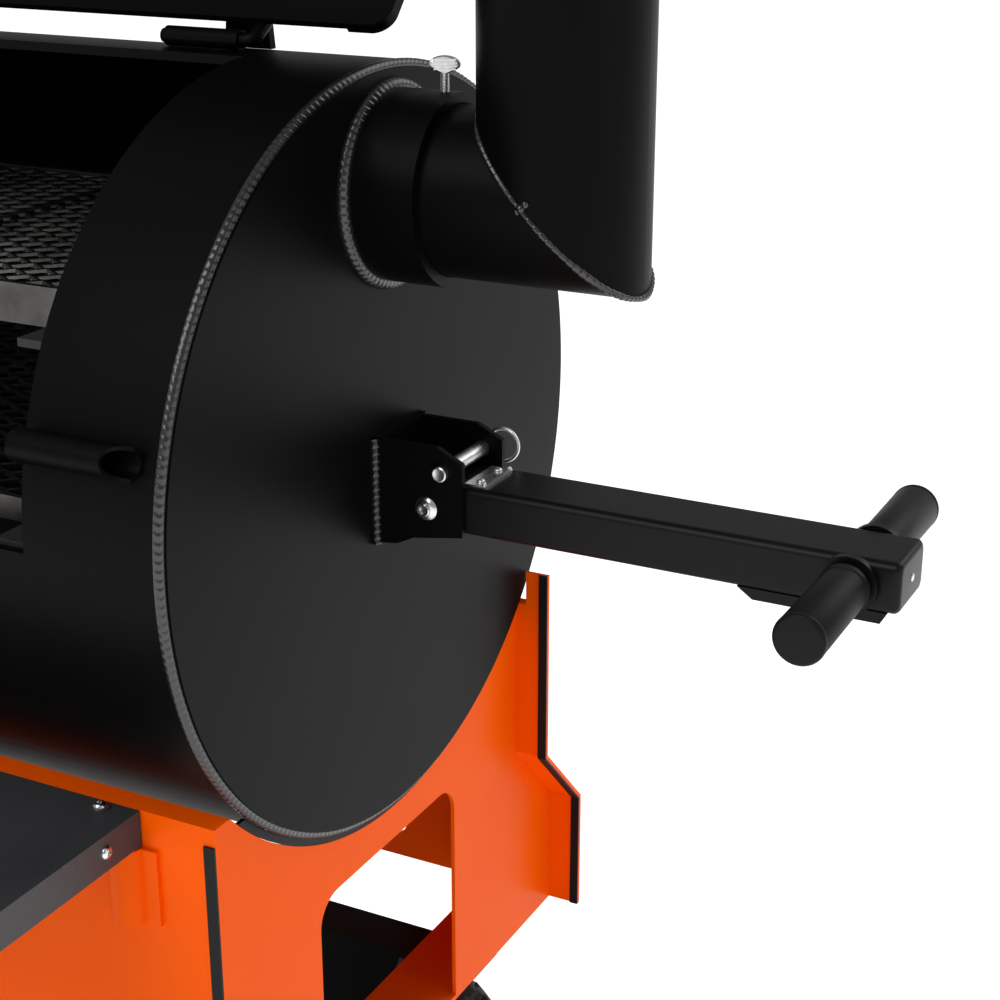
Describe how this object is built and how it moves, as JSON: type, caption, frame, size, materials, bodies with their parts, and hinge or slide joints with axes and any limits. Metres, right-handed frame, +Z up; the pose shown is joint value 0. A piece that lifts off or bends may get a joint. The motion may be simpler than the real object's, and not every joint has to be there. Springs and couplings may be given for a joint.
{
  "type": "offset smoker",
  "caption": "Drum smoker on a sheet-metal cart with an open lid, mitred chimney, side firebox, front shelf and a fold-down tow handle",
  "frame": {"origin": "centre of the bounding box on the floor", "axes": "+X along the drum towards the chimney end, -Y the front with the cooking door and shelf, +Z up"},
  "size_m": [1.7138, 0.669, 1.524],
  "materials": {
    "drum_black": "satin powder coat",
    "weld_bead": "satin powder coat",
    "cart_orange": "gloss powder coat",
    "grate_steel": "oiled dark steel",
    "zinc": "zinc plated",
    "stainless": "stainless",
    "shelf_grey": "textured grey",
    "rubber": "matt",
    "tyre": "matt",
    "dial_white": "printed dial",
    "galvanised": "galvanised",
    "arm_black": "satin powder coat"
  },
  "bodies": {
    "smoker": {"drum_shell": "drum_black", "end_plate_right": "drum_black", "end_plate_left": "drum_black", "door_jamb": "drum_black", "probe_port": "drum_black", "hinge_tubes": "drum_black", "lid_stops": "drum_black", "chimney_collar": "drum_black", "handle_bracket": "drum_black", "firebox_shell": "drum_black", "drain_pipe": "drum_black", "axle": "drum_black", "underframe": "drum_black", "weld_beads": "weld_bead", "end_panel_right": "cart_orange", "end_panel_left": "cart_orange", "front_panel": "cart_orange", "rear_panel": "cart_orange", "shelf_sockets": "cart_orange", "grate_rails": "grate_steel", "baffle_plate": "grate_steel", "fire_grate": "grate_steel", "pivot_bolt": "stainless", "shelf_screws": "stainless", "front_shelf": "shelf_grey", "edge_trims": "rubber"},
    "lid": {"lid_shell": "drum_black", "lid_flange": "drum_black", "lid_rods": "drum_black", "lid_handle": "drum_black", "gauge_case": "stainless", "gauge_dial": "dial_white"},
    "chimney": {"elbow_tube": "drum_black", "stack_tube": "drum_black"},
    "cap": {"stack_cap": "drum_black"},
    "collar_screw": {"thumb_screw": "zinc"},
    "tow_handle": {"tow_arm": "arm_black", "arm_cap": "arm_black", "strike_plate": "zinc", "crossbar": "arm_black", "grips": "rubber", "grip_caps": "rubber"},
    "pin": {"lock_pin": "zinc"},
    "warming_grate": {"upper_grate": "grate_steel"},
    "cooking_grate": {"lower_grate": "grate_steel"},
    "fire_door": {"firebox_door": "drum_black", "door_handle": "stainless"},
    "damper": {"air_damper": "cart_orange"},
    "pan": {"ash_pan": "grate_steel"},
    "drain_valve": {"drain_lever": "zinc"},
    "wheel_front": {"wheel_rim_front": "galvanised", "wheel_tyre_front": "tyre"},
    "wheel_back": {"wheel_rim_back": "galvanised", "wheel_tyre_back": "tyre"},
    "fork_front": {"caster_fork_front": "zinc"},
    "fork_back": {"caster_fork_back": "zinc"},
    "caster_front": {"caster_rim_front": "galvanised", "caster_tyre_front": "tyre"},
    "caster_back": {"caster_rim_back": "galvanised", "caster_tyre_back": "tyre"}
  },
  "joints": [
    {"name": "lid_hinge", "type": "hinge", "parent": "smoker", "child": "lid", "pos_m": [0.05365, 0.0735, 1.1165], "axis": [1, 0, 0], "range_deg": [0, 138]},
    {"name": "chimney_turn", "type": "hinge", "parent": "smoker", "child": "chimney", "pos_m": [0.51065, 0.0675, 1.0354], "axis": [1, 0, 0], "range_deg": [-90, 90]},
    {"name": "cap_hinge", "type": "hinge", "parent": "chimney", "child": "cap", "pos_m": [0.62965, 0.1335, 1.519], "axis": [-1, 0, 0], "range_deg": [0, 105]},
    {"name": "collar_screw_turn", "type": "hinge", "parent": "smoker", "child": "collar_screw", "pos_m": [0.54905, 0.0675, 1.105], "axis": [0, 0, 1], "continuous": true},
    {"name": "tow_handle_fold", "type": "hinge", "parent": "smoker", "child": "tow_handle", "pos_m": [0.54865, 0.0675, 0.836], "axis": [0, 1, 0], "range_deg": [0, 88]},
    {"name": "lock_pin_slide", "type": "slide", "parent": "smoker", "child": "pin", "axis": [0, 1, 0], "range_m": [0, 0.09]},
    {"name": "warming_grate_slide", "type": "slide", "parent": "smoker", "child": "warming_grate", "axis": [0, 1, 0], "range_m": [-0.28, 0]},
    {"name": "cooking_grate_slide", "type": "slide", "parent": "smoker", "child": "cooking_grate", "axis": [0, 1, 0], "range_m": [-0.3, 0]},
    {"name": "fire_door_hinge", "type": "hinge", "parent": "smoker", "child": "fire_door", "pos_m": [-0.81285, -0.1105, 0.706], "axis": [0, 0, 1], "range_deg": [0, 110]},
    {"name": "damper_slide", "type": "slide", "parent": "fire_door", "child": "damper", "axis": [0, 1, 0], "range_m": [0, 0.035]},
    {"name": "ash_pan_slide", "type": "slide", "parent": "smoker", "child": "pan", "axis": [-1, 0, 0], "range_m": [0, 0.33]},
    {"name": "drain_valve_turn", "type": "hinge", "parent": "smoker", "child": "drain_valve", "pos_m": [0.05365, 0.0342, 0.546], "axis": [0, 1, 0], "range_deg": [0, 90]},
    {"name": "wheel_front_spin", "type": "hinge", "parent": "smoker", "child": "wheel_front", "pos_m": [0.33865, -0.0915, 0.165], "axis": [0, 1, 0], "continuous": true},
    {"name": "caster_front_swivel", "type": "hinge", "parent": "smoker", "child": "fork_front", "pos_m": [-0.27935, -0.0915, 0.25], "axis": [0, 0, 1], "continuous": true},
    {"name": "caster_front_spin", "type": "hinge", "parent": "fork_front", "child": "caster_front", "pos_m": [-0.32435, -0.0915, 0.1], "axis": [0, 1, 0], "continuous": true},
    {"name": "wheel_back_spin", "type": "hinge", "parent": "smoker", "child": "wheel_back", "pos_m": [0.33865, 0.2725, 0.165], "axis": [0, 1, 0], "continuous": true},
    {"name": "caster_back_swivel", "type": "hinge", "parent": "smoker", "child": "fork_back", "pos_m": [-0.27935, 0.2725, 0.25], "axis": [0, 0, 1], "continuous": true},
    {"name": "caster_back_spin", "type": "hinge", "parent": "fork_back", "child": "caster_back", "pos_m": [-0.32435, 0.2725, 0.1], "axis": [0, 1, 0], "continuous": true}
  ]
}
